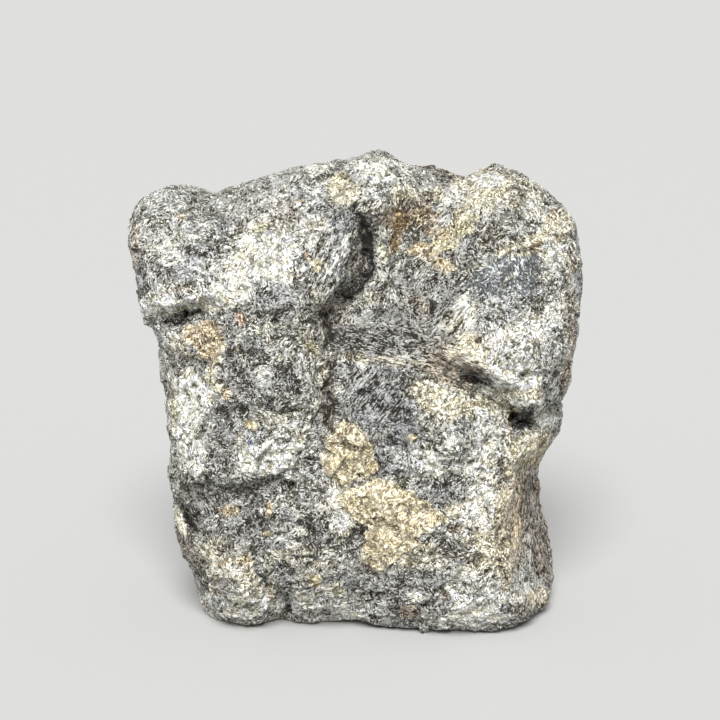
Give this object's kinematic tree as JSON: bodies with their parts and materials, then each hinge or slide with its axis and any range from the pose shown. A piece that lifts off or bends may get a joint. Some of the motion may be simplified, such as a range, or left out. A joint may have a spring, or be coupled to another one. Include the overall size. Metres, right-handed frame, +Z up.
{
  "type": "rough labradorite stone",
  "caption": "Rough block of broken grey labradorite feldspar with ochre patches, standing upright on a flat foot.",
  "frame": {"origin": "middle of the stone's box, on the surface that its flat foot stands on", "axes": "+Z up along the stone's height, -Y out of the broad broken face that the picture shows, +X to the right as that face is looked at"},
  "size_m": [0.0928, 0.057, 0.0988],
  "materials": {
    "labradorite": "broken, sparkling, uneven"
  },
  "bodies": {
    "root": {"labradorite_stone": "labradorite"}
  },
  "joints": []
}
